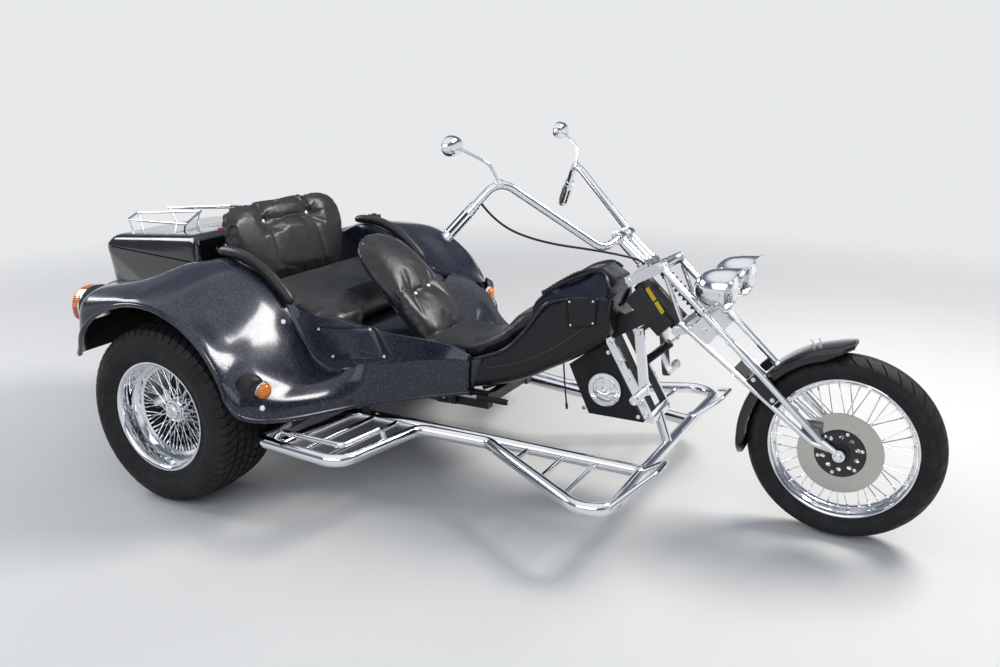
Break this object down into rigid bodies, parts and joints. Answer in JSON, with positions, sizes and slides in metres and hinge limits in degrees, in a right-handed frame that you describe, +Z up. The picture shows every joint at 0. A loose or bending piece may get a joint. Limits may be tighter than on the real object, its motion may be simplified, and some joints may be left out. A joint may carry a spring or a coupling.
{
  "type": "motorized trike",
  "caption": "Motorized trike with a raked girder fork, high handlebar, dished driver's seat, wide passenger seat, foot rails along both sides and a boot with a hinged lid.",
  "frame": {"origin": "on the ground, under the middle of the vehicle's length and width", "axes": "+X forward, +Y to the rider's left, +Z up"},
  "size_m": [3.5308, 1.88, 1.3508],
  "materials": {
    "tyre_rubber": "matte",
    "chrome": "polished",
    "body_paint": "metallic flake under clear coat",
    "black_leather": "grained",
    "black_plastic": "grained",
    "frame_paint": "satin",
    "blue_plastic": "satin",
    "bright_aluminium": "brushed",
    "engine_metal": "cast",
    "brushed_steel": "satin",
    "lamp_red": "clear lens",
    "lamp_amber": "clear lens",
    "plate_white": "blank"
  },
  "bodies": {
    "chassis": {"side_step_left": "chrome", "side_step_right": "chrome", "rear_bumper": "chrome", "exhaust": "chrome", "foot_controls": "chrome", "body_shell": "body_paint", "boot_tub": "body_paint", "passenger_cushion": "black_leather", "passenger_backrest": "black_leather", "driver_backrest": "black_leather", "driver_seat": "black_leather", "side_bolsters": "black_leather", "spine_cover": "black_plastic", "front_box": "black_plastic", "loose_lead": "black_plastic", "handbrake_lever": "black_plastic", "main_frame": "frame_paint", "neck": "frame_paint", "rear_axle": "frame_paint", "nose_console": "blue_plastic", "front_support": "bright_aluminium", "gearbox": "bright_aluminium", "engine_block": "engine_metal", "steering_damper": "brushed_steel", "rear_shocks": "brushed_steel", "tail_lamps": "lamp_red", "front_indicators": "lamp_amber", "number_plate": "plate_white"},
    "boot_lid": {"boot_lid": "body_paint", "luggage_rails": "chrome"},
    "steering": {"steering_stem": "bright_aluminium", "girder_fork": "chrome", "fork_plate": "bright_aluminium", "front_fender": "body_paint", "brake_caliper": "bright_aluminium", "handlebar": "chrome", "handlebar_grips": "black_plastic", "mirrors": "chrome", "headlights": "chrome", "throttle_cable": "black_plastic"},
    "front_wheel": {"front_tyre": "tyre_rubber", "front_rim": "chrome", "brake_disc": "brushed_steel"},
    "rear_wheel_left": {"rear_tyre_left": "tyre_rubber", "rear_rim_left": "chrome"},
    "rear_wheel_right": {"rear_tyre_right": "tyre_rubber", "rear_rim_right": "chrome"}
  },
  "joints": [
    {"name": "steering", "type": "hinge", "parent": "chassis", "child": "steering", "pos_m": [0.7695, 0, 0.755], "axis": [-0.7373, 0, 0.6756], "range_deg": [-30, 30]},
    {"name": "front_wheel", "type": "hinge", "parent": "steering", "child": "front_wheel", "pos_m": [1.4395, 0, 0.326], "axis": [0, 1, 0], "continuous": true},
    {"name": "rear_wheel_left", "type": "hinge", "parent": "chassis", "child": "rear_wheel_left", "pos_m": [-0.8155, 0.7825, 0.338], "axis": [0, 1, 0], "continuous": true},
    {"name": "rear_wheel_right", "type": "hinge", "parent": "chassis", "child": "rear_wheel_right", "pos_m": [-0.8155, -0.7825, 0.338], "axis": [0, 1, 0], "continuous": true},
    {"name": "boot_lid", "type": "hinge", "parent": "chassis", "child": "boot_lid", "pos_m": [-1.0145, 0, 0.85], "axis": [0, 1, 0], "range_deg": [0, 60]}
  ]
}
